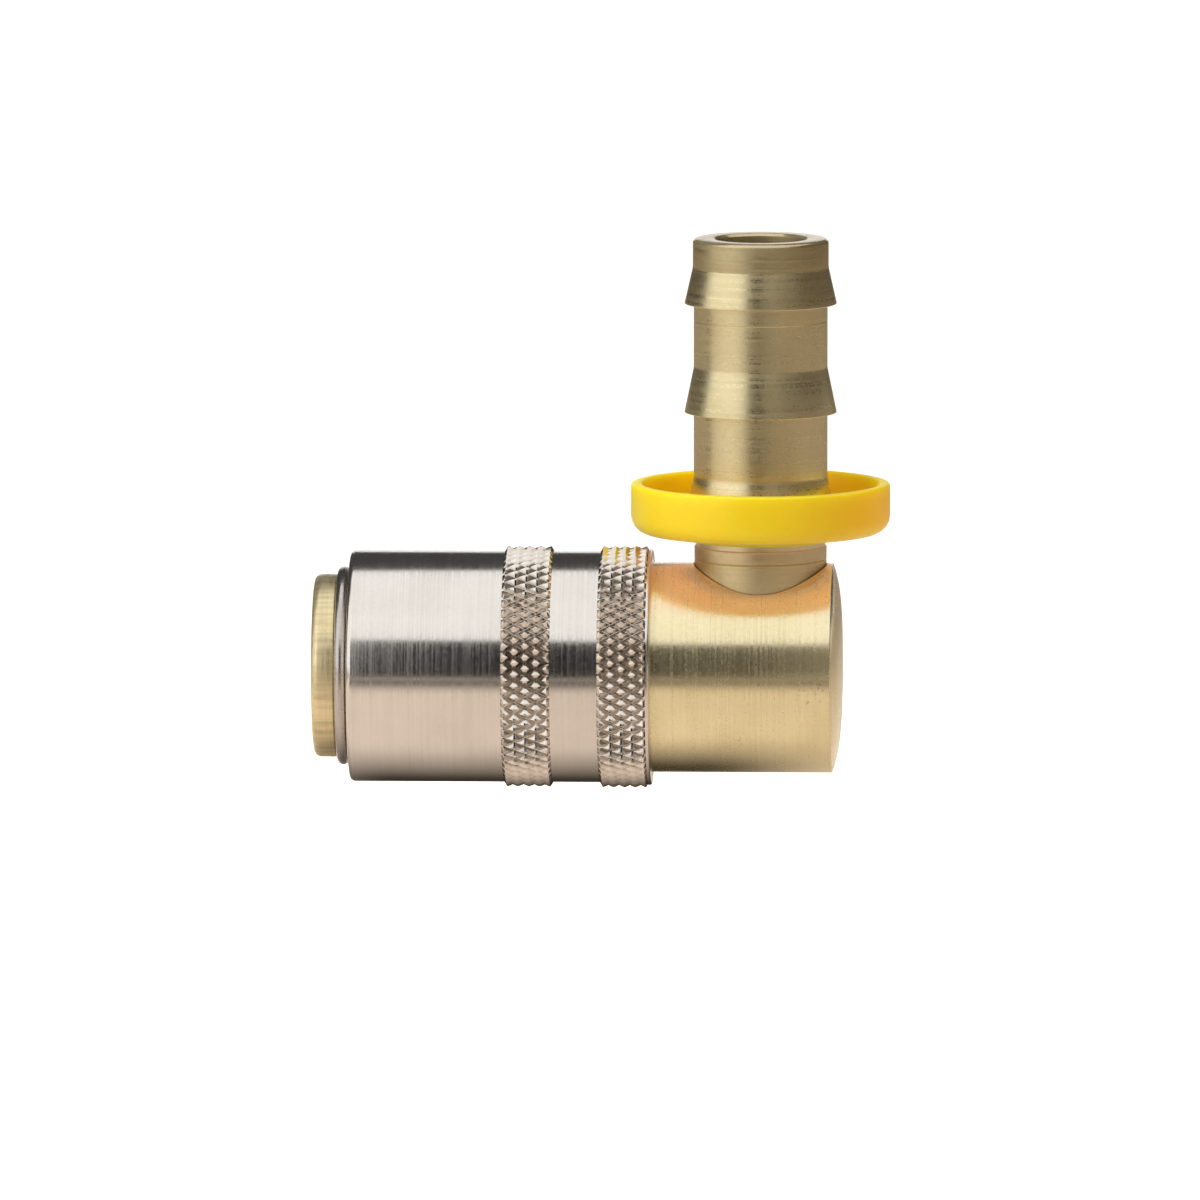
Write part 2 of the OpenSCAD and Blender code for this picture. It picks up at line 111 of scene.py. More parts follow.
def tinted(tree, base, tint, where):
    """The base tone times a tint, which is a colour or a socket, as far as a mask lets it."""
    mix = tree.nodes.new("ShaderNodeMix")
    mix.data_type = "RGBA"
    mix.blend_type = "MULTIPLY"
    tree.links.new(where, mix.inputs["Factor"])
    tree.links.new(base, mix.inputs["A"])
    if isinstance(tint, tuple):
        mix.inputs["B"].default_value = (*tint, 1)
    else:
        tree.links.new(tint, mix.inputs["B"])
    return mix.outputs["Result"]


def radius_mask(tree, clear_r, full_r):
    """A mask by the distance from the X axis, 0 at one radius and 1 at the other."""
    place = tree.nodes.new("ShaderNodeTexCoord")
    flat = tree.nodes.new("ShaderNodeVectorMath")
    flat.operation = "MULTIPLY"
    flat.inputs[1].default_value = (0, 1, 1)
    tree.links.new(place.outputs["Object"], flat.inputs[0])
    radius = tree.nodes.new("ShaderNodeVectorMath")
    radius.operation = "LENGTH"
    tree.links.new(flat.outputs["Vector"], radius.inputs[0])
    mask = tree.nodes.new("ShaderNodeMapRange")
    mask.inputs["From Min"].default_value = clear_r * MM
    mask.inputs["From Max"].default_value = full_r * MM
    tree.links.new(radius.outputs["Value"], mask.inputs["Value"])
    return mask.outputs["Result"]


def turned_metal(name, bright, dull, roughness, lathe_axis, mark_depth=2.5e-6, pits=0.0,
                 mark_scale=5200, spread=0.6, haze=0.0):
    """Metal turned round an axis, with fine marks that draw out its gloss, grain and tarnish."""
    around_scale = 45
    grain_share = 0.55
    tarnish_share = 0.6
    material = bpy.data.materials.new(name)
    material.use_nodes = True
    tree = material.node_tree
    shader = tree.nodes["Principled BSDF"]
    shader.inputs["Metallic"].default_value = 1.0 - haze
    if spread > 0.0:
        shader.inputs["Anisotropic"].default_value = spread
        shader.inputs["Anisotropic Rotation"].default_value = 0.25
        around = tree.nodes.new("ShaderNodeTangent")
        around.direction_type = "RADIAL"
        around.axis = lathe_axis
        tree.links.new(around.outputs["Tangent"], shader.inputs["Tangent"])
    place = tree.nodes.new("ShaderNodeTexCoord")
    stretch = tree.nodes.new("ShaderNodeMapping")
    stretch.inputs["Scale"].default_value = [mark_scale if axis == lathe_axis else around_scale
                                             for axis in "XYZ"]
    tree.links.new(place.outputs["Object"], stretch.inputs["Vector"])
    marks = tree.nodes.new("ShaderNodeTexNoise")
    marks.inputs["Scale"].default_value = 1.0
    marks.inputs["Detail"].default_value = 3.0
    tree.links.new(stretch.outputs["Vector"], marks.inputs["Vector"])
    grain = tree.nodes.new("ShaderNodeTexNoise")
    grain.inputs["Scale"].default_value = 3200
    grain.inputs["Detail"].default_value = 4.0
    tree.links.new(place.outputs["Object"], grain.inputs["Vector"])
    height = tree.nodes.new("ShaderNodeMath")
    height.operation = "MULTIPLY_ADD"
    height.inputs[1].default_value = grain_share
    tree.links.new(grain.outputs["Fac"], height.inputs[0])
    tree.links.new(marks.outputs["Fac"], height.inputs[2])
    bump = tree.nodes.new("ShaderNodeBump")
    bump.inputs["Strength"].default_value = 1.0
    bump.inputs["Distance"].default_value = mark_depth
    tree.links.new(height.outputs["Value"], bump.inputs["Height"])
    tree.links.new(bump.outputs["Normal"], shader.inputs["Normal"])

    polish = tree.nodes.new("ShaderNodeMapRange")
    polish.inputs["From Min"].default_value = 0.55
    polish.inputs["From Max"].default_value = 1.0
    polish.inputs["To Min"].default_value = roughness * 0.78
    polish.inputs["To Max"].default_value = roughness * 1.35
    tree.links.new(height.outputs["Value"], polish.inputs["Value"])
    tree.links.new(polish.outputs["Result"], shader.inputs["Roughness"])

    tarnish = tree.nodes.new("ShaderNodeTexNoise")
    tarnish.inputs["Scale"].default_value = 160
    tarnish.inputs["Detail"].default_value = 6.0
    tree.links.new(place.outputs["Object"], tarnish.inputs["Vector"])
    worn = tree.nodes.new("ShaderNodeMath")
    worn.operation = "MULTIPLY_ADD"
    worn.inputs[1].default_value = tarnish_share
    tree.links.new(height.outputs["Value"], worn.inputs[0])
    tree.links.new(tarnish.outputs["Fac"], worn.inputs[2])
    spotted = tree.nodes.new("ShaderNodeMapRange")
    spotted.inputs["From Min"].default_value = 0.75
    spotted.inputs["From Max"].default_value = 1.18
    tree.links.new(worn.outputs["Value"], spotted.inputs["Value"])
    tone = tree.nodes.new("ShaderNodeMix")
    tone.data_type = "RGBA"
    tone.inputs["A"].default_value = (*bright, 1)
    tone.inputs["B"].default_value = (*dull, 1)
    tree.links.new(spotted.outputs["Result"], tone.inputs["Factor"])
    if pits == 0.0:
        tree.links.new(tone.outputs["Result"], shader.inputs["Base Color"])
        return material

    pores = tree.nodes.new("ShaderNodeTexVoronoi")
    pores.inputs["Scale"].default_value = 2300
    tree.links.new(place.outputs["Object"], pores.inputs["Vector"])
    patches = tree.nodes.new("ShaderNodeTexNoise")
    patches.inputs["Scale"].default_value = 230
    tree.links.new(place.outputs["Object"], patches.inputs["Vector"])
    reach = tree.nodes.new("ShaderNodeMapRange")
    reach.inputs["From Min"].default_value = 0.56
    reach.inputs["From Max"].default_value = 0.72
    reach.inputs["To Max"].default_value = 0.3
    tree.links.new(patches.outputs["Fac"], reach.inputs["Value"])
    pit = tree.nodes.new("ShaderNodeMath")
    pit.operation = "LESS_THAN"
    tree.links.new(pores.outputs["Distance"], pit.inputs[0])
    tree.links.new(reach.outputs["Result"], pit.inputs[1])
    dark = tree.nodes.new("ShaderNodeMath")
    dark.operation = "MULTIPLY"
    dark.inputs[1].default_value = pits
    tree.links.new(pit.outputs["Value"], dark.inputs[0])
    pit_shade = (0.42, 0.34, 0.24)
    pitted = tree.nodes.new("ShaderNodeMix")
    pitted.data_type = "RGBA"
    pitted.inputs["B"].default_value = (*(c * shade for c, shade in zip(dull, pit_shade)), 1)
    tree.links.new(dark.outputs["Value"], pitted.inputs["Factor"])
    tree.links.new(tone.outputs["Result"], pitted.inputs["A"])
    tree.links.new(pitted.outputs["Result"], shader.inputs["Base Color"])
    return material


socket_low, socket_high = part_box("socket_body")
ball_low, ball_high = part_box("locking_ball_1")
ring_low, ring_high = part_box("snap_ring")
nose_face = socket_low.x / MM
nose_r = 8.9
nose_lead_in = 0.6
ring_front = ring_low.x / MM
ring_rear = ring_high.x / MM
groove_front, groove_rear = ring_front - 0.02, ring_rear + 0.02
groove_r = nose_r - 0.47
flange_r = socket_high.z / MM
flange_rear = 25.0
flange_front = flange_rear - 1
socket_rear = socket_high.x / MM
thread_r = 8.2
guide_r = 7.0
guide_depth = 6.2
ball_bore_r = 6.8
ball_x = (ball_low.x + ball_high.x) / 2 / MM
ball_r = (ball_high.x - ball_low.x) / 2 / MM
ball_seat_r = nose_r - ball_r
ball_count = 8
ball_hole_r = ball_r + 0.05
ball_lip_r = ball_r - 0.27
lip_length = 1.2
drill_reach = 2.2
groove_start, groove_end, seal_groove_r = 12.6, 14.8, 8.1
web_front, web_rear = 16.2, 17.8
seat_hole_r = 4.9
seat_cone = 0.7

socket_outline = [
    (0, guide_r, 0), (nose_face, guide_r + nose_lead_in, 0.12), (nose_face, nose_r, 0.7),
    (groove_front, nose_r, 0.16), (groove_front, groove_r, 0),
    (groove_rear, groove_r, 0), (groove_rear, nose_r, 0.05),
    (flange_front, nose_r, 0), (flange_front, flange_r, 0.1), (flange_rear, flange_r, 0.05),
    (flange_rear, thread_r, 0), (socket_rear, thread_r, 0.3), (socket_rear, guide_r, 0.1),
    (web_rear, guide_r, 0), (web_rear, seat_hole_r + seat_cone, 0),
    (web_rear - seat_cone, seat_hole_r, 0),
    (web_front, seat_hole_r, 0.1), (web_front, ball_bore_r, 0),
    (groove_end, ball_bore_r, 0.05), (groove_end, seal_groove_r, 0.1),
    (groove_start, seal_groove_r, 0.1), (groove_start, ball_bore_r, 0.05),
    (guide_depth, ball_bore_r, 0.05), (guide_depth, guide_r, 0),
]
ball_turns = [Matrix.Rotation(2 * math.pi * (k + 0.5) / ball_count, 4, "X")
              for k in range(ball_count)]
ball_drills = []
for turn in ball_turns:
    drill = bmesh.new()
    cone_middle = Matrix.Translation((ball_x * MM, 0, (ball_seat_r - lip_length / 2) * MM))
    bmesh.ops.create_cone(drill, cap_ends=True, segments=48, radius1=ball_lip_r * MM,
                          radius2=ball_hole_r * MM, depth=lip_length * MM, matrix=cone_middle)
    top = [face for face in drill.faces
           if len(face.verts) > 4 and face.calc_center_median().z > (ball_seat_r - 0.01) * MM]
    for face in bmesh.ops.extrude_discrete_faces(drill, faces=top)["faces"]:
        bmesh.ops.translate(drill, verts=face.verts[:], vec=(0, 0, drill_reach * MM))
    bmesh.ops.transform(drill, matrix=turn, verts=drill.verts[:])
    ball_drills.append(drill)
nose_brass = turned_metal("nose_brass", (0.93, 0.80, 0.50), (0.82, 0.69, 0.40), 0.36, "X",
                          mark_depth=3e-6, spread=0.3, haze=0.12)
tree = nose_brass.node_tree
shader = tree.nodes["Principled BSDF"]
place = tree.nodes.new("ShaderNodeTexCoord")
stretch = tree.nodes.new("ShaderNodeMapping")
stretch.inputs["Scale"].default_value = (110, 1300, 1300)
tree.links.new(place.outputs["Object"], stretch.inputs["Vector"])
scuffs = tree.nodes.new("ShaderNodeTexNoise")
scuffs.inputs["Scale"].default_value = 1.0
scuffs.inputs["Detail"].default_value = 3.0
tree.links.new(stretch.outputs["Vector"], scuffs.inputs["Vector"])
rubbed = tree.nodes.new("ShaderNodeMapRange")
rubbed.inputs["From Min"].default_value = 0.3
rubbed.inputs["From Max"].default_value = 0.6
rubbed.inputs["To Min"].default_value = 0.7
tree.links.new(scuffs.outputs["Fac"], rubbed.inputs["Value"])
outside = radius_mask(tree, nose_r - 0.5, nose_r - 0.1)
scuffed = tinted(tree, shader.inputs["Base Color"].links[0].from_socket,
                 rubbed.outputs["Result"], outside)
tree.links.new(scuffed, shader.inputs["Base Color"])
socket = finished(cut_away(turned(socket_outline), ball_drills), "socket_turning", nose_brass)
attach(socket, "body")
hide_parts("socket_body")


# Snap ring: hard-drawn steel wire, sprung into the nose's groove to stop the sleeve. Its two
# cut ends face away from the front, with their edges dressed off.
def wire_metal(name, tone, roughness):
    """Drawn wire or a ground ball: plain steel with faint grain."""
    return turned_metal(name, tone, [c * 0.8 for c in tone], roughness, "X", mark_depth=1e-6,
                        spread=0.0)


ring_wire = (ring_high.x - ring_low.x) / MM
ring_r = ring_high.z / MM - ring_wire / 2
ring_gap = math.radians(14)
ring_middle = (ring_front + ring_rear) / 2
end_dressing = 0.12
wire = bmesh.new()
bmesh.ops.create_circle(wire, cap_ends=True, segments=24, radius=ring_wire / 2 * MM)
bmesh.ops.rotate(wire, verts=wire.verts[:], cent=(0, 0, 0),
                 matrix=Matrix.Rotation(math.pi / 2, 3, "X"))
bmesh.ops.translate(wire, verts=wire.verts[:], vec=(ring_middle * MM, 0, ring_r * MM))
bmesh.ops.rotate(wire, verts=wire.verts[:], cent=(0, 0, 0),
                 matrix=Matrix.Rotation(-math.pi / 2 + ring_gap / 2, 3, "X"))
bmesh.ops.spin(wire, geom=wire.faces[:], cent=(0, 0, 0), axis=(1, 0, 0), dvec=(0, 0, 0),
               angle=2 * math.pi - ring_gap, steps=200)
bmesh.ops.recalc_face_normals(wire, faces=wire.faces[:])
cut_ends = [e for e in wire.edges if any(len(f.verts) > 4 for f in e.link_faces)]
bmesh.ops.bevel(wire, geom=cut_ends, offset=end_dressing * MM, offset_type="OFFSET",
                affect="EDGES", segments=2, profile=0.5, material=-1)
ring = finished(wire, "snap_ring_wire", wire_metal("ring_steel_wire", (0.66, 0.61, 0.58), 0.24))
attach(ring, "body")
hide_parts("snap_ring")


# Locking balls: eight hard polished steel balls that stand through the socket's wall, each
# on a body of its own, and drop outwards when the sleeve is pulled back.
ball_steel = wire_metal("ball_polish", (0.78, 0.78, 0.80), 0.1)
for number, turn in enumerate(ball_turns):
    ball = bmesh.new()
    bmesh.ops.create_uvsphere(ball, u_segments=48, v_segments=32, radius=ball_r * MM,
                              matrix=turn @ Matrix.Translation((ball_x * MM, 0, ball_seat_r * MM)))
    ball = finished(ball, "ball_%d" % (number + 1), ball_steel)
    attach(ball, "ball_%d" % (number + 1))
    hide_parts("locking_ball_%d" % (number + 1))


# Release sleeve: turned steel with satin nickel plate. Its front edge is rounded, and inside
# are the lip, the balls' relief, the release ramp, the locking land and the spring's pocket.
sleeve_low, sleeve_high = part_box("sleeve")
sleeve_front = sleeve_low.x / MM
sleeve_rear = sleeve_high.x / MM
crest_r = sleeve_high.z / MM
sleeve_r = crest_r - 0.5
elbow_low, elbow_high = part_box("elbow_body")
elbow_r = elbow_high.z / MM
pocket_r = elbow_r + 0.07
land_r = nose_r + 0.07
relief_r = 9.89
lip_end, ramp_start, ramp_end, land_end = 3.7, 5.4, 8.9, 11.4
rim_r = sleeve_r + 0.25
rim_front = sleeve_rear - 0.35

sleeve_outline = [
    (sleeve_front, land_r, 0.2), (sleeve_front, sleeve_r, 0.5),
    (rim_front, sleeve_r, 0), (rim_front, rim_r, 0), (sleeve_rear, rim_r, 0.2),
    (sleeve_rear, pocket_r, 0.3), (land_end, pocket_r, 0.1), (land_end, land_r, 0.1),
    (ramp_end, land_r, 0), (ramp_start, relief_r, 0), (lip_end, relief_r, 0.05),
    (lip_end, land_r, 0.05),
]
nickel = turned_metal("satin_nickel", (0.87, 0.82, 0.77), (0.78, 0.73, 0.675), 0.18, "X",
                      mark_depth=2.6e-6, mark_scale=6000, spread=0.3)
shell = finished(turned(sleeve_outline), "sleeve_shell", nickel)

# Knurled bands: two belts of rolled diamonds on the sleeve, with a rounded point on each
# diamond and a sharp valley between, run out at both ends where the roller lifted off.
teeth = 64
column_pitch = 1.05
columns = 4
run_out = 0.28
cells = 4
belt_length = 2 * run_out + columns * column_pitch
front_belt_start = sleeve_rear - 14.37
rear_belt_start = sleeve_rear - 0.3 - belt_length
valley_r = sleeve_r - 0.02
run_out_r = valley_r + 0.02
belt_under_r = sleeve_r - 0.2
under_limit = belt_under_r + 0.05
point_roundness = 1.3
track_depth = 0.10
valley_grime_and_shade_height = 0.28
valley_grime_and_shade_tint = (0.62, 0.59, 0.55)


def knurled_belt(name, start, double_track):
    """One belt: a ring whose outside is raised into diamonds and split along its valleys."""
    rows = columns * cells
    stations = [start + run_out + column_pitch * row / cells for row in range(rows + 1)]
    belt = bmesh.new()
    outer = [belt.verts.new((x * MM, 0, crest_r * MM))
             for x in [start, *stations, start + belt_length]]
    under = [belt.verts.new((x * MM, 0, belt_under_r * MM)) for x in (start + belt_length, start)]
    loop = outer + under
    for a, b in zip(loop, loop[1:] + loop[:1]):
        belt.edges.new((a, b))
    bmesh.ops.spin(belt, geom=belt.verts[:] + belt.edges[:], cent=(0, 0, 0), axis=(1, 0, 0),
                   dvec=(0, 0, 0), angle=2 * math.pi, steps=teeth * 2 * cells, use_merge=True)
    bmesh.ops.remove_doubles(belt, verts=belt.verts[:], dist=1e-7)
    for vert in belt.verts:
        radius = math.hypot(vert.co.y, vert.co.z)
        if radius < under_limit * MM:
            continue
        along = (vert.co.x / MM - start - run_out) / column_pitch
        around = math.atan2(vert.co.y, vert.co.z) / (2 * math.pi) * teeth * 2
        if along < -0.01 or along > columns + 0.01:
            wanted = run_out_r
        else:
            rise = ridge(around, along, double_track)
            wanted = valley_r + (crest_r - valley_r) * rise
        vert.co.y *= wanted * MM / radius
        vert.co.z *= wanted * MM / radius
    for face in belt.faces[:]:
        if len(face.verts) != 4:
            continue
        reach = [math.hypot(v.co.y, v.co.z) for v in face.verts]
        if min(reach) < under_limit * MM:
            continue
        corner = 0 if abs(reach[0] - reach[2]) <= abs(reach[1] - reach[3]) else 1
        bmesh.utils.face_split(face, face.verts[corner], face.verts[corner + 2])
    bmesh.ops.recalc_face_normals(belt, faces=belt.faces[:])
    return finished(belt, name, nickel_knurl, crease=math.radians(50))


def ridge(around, along, double_track):
    """The height at a place on the belt: pillow-topped points with sharp valleys between."""
    across = abs((around + 1) % 2 - 1)
    down = abs((along + 1) % 2 - 1)
    near = across + down
    far = (1 - across) + (1 - down)
    rise = 1 - min(1.0, near, far) ** point_roundness
    if double_track:
        second_pass = max(0.0, math.sin(math.pi * (around * 0.5 + along * 0.5) * 0.25))
        rise -= track_depth * second_pass * rise
    return rise


nickel_knurl = turned_metal("rolled_nickel", (0.86, 0.80, 0.74), (0.76, 0.69, 0.62), 0.15, "X",
                            mark_depth=1.2e-6, spread=0.0)
# The valleys are darkened by their depth: partly dirt held in them, partly painted shade in the
# recesses.
tree = nickel_knurl.node_tree
shader = tree.nodes["Principled BSDF"]
valley_grime_and_shade = tinted(tree, shader.inputs["Base Color"].links[0].from_socket, valley_grime_and_shade_tint,
               radius_mask(tree, valley_r + valley_grime_and_shade_height, valley_r))
tree.links.new(valley_grime_and_shade, shader.inputs["Base Color"])
front_belt = knurled_belt("knurl_front", front_belt_start, True)
rear_belt = knurled_belt("knurl_rear", rear_belt_start, False)
for piece in (shell, front_belt, rear_belt):
    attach(piece, "sleeve")
    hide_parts("sleeve")


# Springs: round steel wire wound on a mandrel, with the end turns closed flat. One pushes
# the sleeve forwards and the other shuts the valve. Each gets a mesh of its own.
def coil_spring(name, start, end, mean_r, wire_size, turns, material):
    """A coil along X made by screwing a round of wire, with closed turns at both ends."""
    closed = 0.85
    closed_rise = wire_size * 1.02 * closed
    open_turns = turns - 2 * closed
    open_rise = end - start - wire_size - 2 * closed_rise
    first_middle = start + wire_size / 2
    spring = bmesh.new()
    bmesh.ops.create_circle(spring, cap_ends=True, segments=12, radius=wire_size / 2 * MM)
    bmesh.ops.rotate(spring, verts=spring.verts[:], cent=(0, 0, 0),
                     matrix=Matrix.Rotation(math.pi / 2, 3, "X"))
    bmesh.ops.translate(spring, verts=spring.verts[:], vec=(first_middle * MM, 0, mean_r * MM))
    front = spring.faces[:]
    for share, rise in ((closed, closed_rise), (open_turns, open_rise), (closed, closed_rise)):
        steps = max(8, round(share * 40))
        swept = bmesh.ops.spin(spring, geom=front, cent=(0, 0, 0), axis=(1, 0, 0), steps=steps,
                               dvec=(rise / steps * MM, 0, 0), angle=2 * math.pi * share)
        front = [item for item in swept["geom_last"] if isinstance(item, bmesh.types.BMFace)]
    inner = [face for face in spring.faces if len(face.verts) > 4]
    ends = [face for face in inner if all(len(edge.link_faces) == 2 for edge in face.edges)]
    inner = [face for face in inner if face not in ends]
    bmesh.ops.delete(spring, geom=inner, context="FACES_ONLY")
    bmesh.ops.recalc_face_normals(spring, faces=spring.faces[:])
    return finished(spring, name, material)


sleeve_coil_low, sleeve_coil_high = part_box("sleeve_spring")
valve_coil_low, valve_coil_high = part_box("valve_spring")
spring_steel = wire_metal("spring_wire", (0.42, 0.42, 0.43), 0.3)
sleeve_wire = 1.0
sleeve_coil = coil_spring("sleeve_coil", sleeve_coil_low.x / MM, sleeve_coil_high.x / MM,
                          sleeve_coil_high.z / MM - sleeve_wire / 2, sleeve_wire, 6.5, spring_steel)
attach(sleeve_coil, "spring_turn")
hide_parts("sleeve_spring")
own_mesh(sleeve_coil)
valve_wire = 0.7
valve_coil = coil_spring("valve_coil", valve_coil_low.x / MM, valve_coil_high.x / MM,
                         valve_coil_high.z / MM - valve_wire / 2, valve_wire, 5.5, spring_steel)
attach(valve_coil, "body")
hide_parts("valve_spring")
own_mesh(valve_coil)


# Seals: three moulded rubber rings, in the socket's groove, in the valve's head and under
# the socket's flange, with a dull and slightly uneven skin.
def rubber(name):
    """Black moulded rubber with a dull, slightly uneven skin."""
    material = bpy.data.materials.new(name)
    material.use_nodes = True
    tree = material.node_tree
    shader = tree.nodes["Principled BSDF"]
    place = tree.nodes.new("ShaderNodeTexCoord")
    skin = tree.nodes.new("ShaderNodeTexNoise")
    skin.inputs["Scale"].default_value = 900
    skin.inputs["Detail"].default_value = 4.0
    tree.links.new(place.outputs["Object"], skin.inputs["Vector"])
    tone = tree.nodes.new("ShaderNodeMix")
    tone.data_type = "RGBA"
    tone.inputs["A"].default_value = (0.012, 0.012, 0.013, 1)
    tone.inputs["B"].default_value = (0.028, 0.027, 0.027, 1)
    tree.links.new(skin.outputs["Fac"], tone.inputs["Factor"])
    tree.links.new(tone.outputs["Result"], shader.inputs["Base Color"])
    shader.inputs["Roughness"].default_value = 0.48
    bump = tree.nodes.new("ShaderNodeBump")
    bump.inputs["Distance"].default_value = 4e-6
    tree.links.new(skin.outputs["Fac"], bump.inputs["Height"])
    tree.links.new(bump.outputs["Normal"], shader.inputs["Normal"])
    return material


seal_rubber = rubber("seal_skin")
for node, body in (("plug_seal", "body"), ("body_seal", "body"), ("poppet_seal", "valve")):
    seal_low, seal_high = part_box(node)
    cord = (seal_high.x - seal_low.x) / MM
    mean_r = seal_high.z / MM - cord / 2
    middle = (seal_high.x + seal_low.x) / 2 / MM
    rounding = cord / 2 - 0.01
    ring_points = [(middle + side * cord / 2, mean_r + out * cord / 2, rounding)
                   for side, out in ((-1, -1), (1, -1), (1, 1), (-1, 1))]
    seal = finished(turned(ring_points, steps=160, segments=8), node + "_ring", seal_rubber)
    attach(seal, body)
    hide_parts(node)


# Shut-off valve and its guide: turned and milled brass, seen through the socket's mouth.
# Their solids are the real shapes, so they stay and take the valve's finish.
valve_brass = turned_metal("valve_turning", (0.84, 0.72, 0.43), (0.74, 0.60, 0.33), 0.25, "X",
                           pits=0.2, spread=0.0)
for node in ("poppet", "valve_guide"):
    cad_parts[node].data.materials.clear()
    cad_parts[node].data.materials.append(valve_brass)


# Elbow: a brass barrel turned with a crisp heel edge and a shallow domed heel, bored for the
# socket and the flow, and cross-drilled for the stem. A fine gap stays round the stem.
mouth_x = elbow_low.x / MM
dome_top = elbow_high.x / MM
dome_height = 0.9
dome_steps = 14
dome_power = 4
heel_x = dome_top - dome_height
stem_low, stem_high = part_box("hose_stem")
stem_x = (stem_low.x + stem_high.x) / 2 / MM
stem_seat = stem_low.z / MM
stem_bore_r = 4.4
stem_root_r = 6.425
flow_r = 4.7
flow_end = stem_x + stem_bore_r + 0.2
turn_floor = 0.6
mouth_r = thread_r + 0.05
mouth_floor = 31.8
gland_r = 9.8
gland_end = mouth_x + 1.55
press_r = stem_root_r + 0.02
press_end = stem_seat + 1.6
seam_r = stem_root_r + 0.13
seam_start = stem_seat + 1.8
drill_top = stem_seat + 9

dome = [(heel_x + dome_height * (1 - (step / dome_steps) ** dome_power),
         elbow_r * step / dome_steps, 0) for step in range(dome_steps)]
elbow_outline = [
    (flow_end, 0, 0), (flow_end, flow_r, 0.3), (mouth_floor, flow_r, 0.1),
    (mouth_floor, mouth_r, 0.1), (gland_end, mouth_r, 0), (mouth_x, gland_r, 0),
    (mouth_x, elbow_r, 0.12), (heel_x, elbow_r, 0.08), *reversed(dome),
]
stem_drill = turned([(stem_seat, 0, 0), (stem_seat, press_r, 0), (press_end, press_r, 0),
                     (seam_start, seam_r, 0), (drill_top, seam_r, 0), (drill_top, 0, 0)], steps=192)
flow_drill = turned([(turn_floor, 0, 0), (turn_floor, stem_bore_r, 0),
                     (stem_seat + 1, stem_bore_r, 0), (stem_seat + 1, 0, 0)], steps=128)
upright = Matrix.Translation((stem_x * MM, 0, 0)) @ Matrix.Rotation(-math.pi / 2, 4, "Y")
for drill in (stem_drill, flow_drill):
    bmesh.ops.transform(drill, matrix=upright, verts=drill.verts[:])
elbow_brass = turned_metal("elbow_turning", (0.98, 0.87, 0.56), (0.87, 0.755, 0.46), 0.22, "X",
                           mark_depth=5e-6, pits=0.4, mark_scale=6500, spread=0.4, haze=0.04)
elbow_mesh = cut_away(turned(elbow_outline), [stem_drill, flow_drill])
elbow = finished(elbow_mesh, "elbow_turning", elbow_brass)
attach(elbow, "body")
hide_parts("elbow_body")


# Hose stem: turned brass pressed into the elbow, with three barbs whose steps face down, a
# plain lead-in on top, a bored flow passage and a scribed line just over the elbow. The root
# has painted shade below the shoulder where the collar shades it, the lead-in is darker and
# rougher than the rest, and the faced end is smooth, less metallic and painted a paler tone.
stem_r = 6.5
neck_r = 6.28
tip_r = 6.6
barb_r = stem_high.x / MM - stem_x
stem_top = stem_high.z / MM
tip_start = stem_top - 2.8
top_crest = tip_start - 3.55
barb_pitch = 10.62
barb_length = 4.4
bore_lead_in = 0.2
scribe = 10.67
scribe_depth = 0.09
shoulder = 12.0
tool_line = 34.0
stem_outline = [
    (stem_seat, stem_bore_r, 0), (stem_seat, stem_root_r, 0.3),
    (scribe - scribe_depth, stem_root_r, 0), (scribe, stem_root_r - scribe_depth, 0),
    (scribe + scribe_depth, stem_root_r, 0), (shoulder, stem_root_r, 0.13), (shoulder, neck_r, 0),
]
for number, crest in enumerate((top_crest - 2 * barb_pitch, top_crest - barb_pitch, top_crest)):
    below_r = neck_r if number == 0 else stem_r
    stem_outline += [(crest, below_r, 0), (crest, barb_r, 0.07)]
    if number < 2:
        stem_outline += [(crest + barb_length, stem_r, 0.15)]
    if number == 1:
        stem_outline += [(tool_line - 0.05, stem_r, 0), (tool_line, stem_r - 0.04, 0),
                         (tool_line + 0.05, stem_r, 0)]
stem_outline += [(tip_start, tip_r, 0.15), (stem_top, tip_r, 0.4),
                 (stem_top, stem_bore_r + bore_lead_in, 0.05), (stem_top - 0.25, stem_bore_r, 0)]
stem_mesh = turned(stem_outline)
bmesh.ops.transform(stem_mesh, matrix=upright, verts=stem_mesh.verts[:])
stem_brass = turned_metal("stem_turning", (0.86, 0.75, 0.46), (0.78, 0.66, 0.38), 0.31, "Z",
                          mark_depth=2.8e-6, mark_scale=6500, spread=0.0, haze=0.01)
tree = stem_brass.node_tree
shader = tree.nodes["Principled BSDF"]
place = tree.nodes.new("ShaderNodeTexCoord")
split = tree.nodes.new("ShaderNodeSeparateXYZ")
tree.links.new(place.outputs["Object"], split.inputs["Vector"])
coarse = shader.inputs["Roughness"].links[0].from_socket
tone = shader.inputs["Base Color"].links[0].from_socket
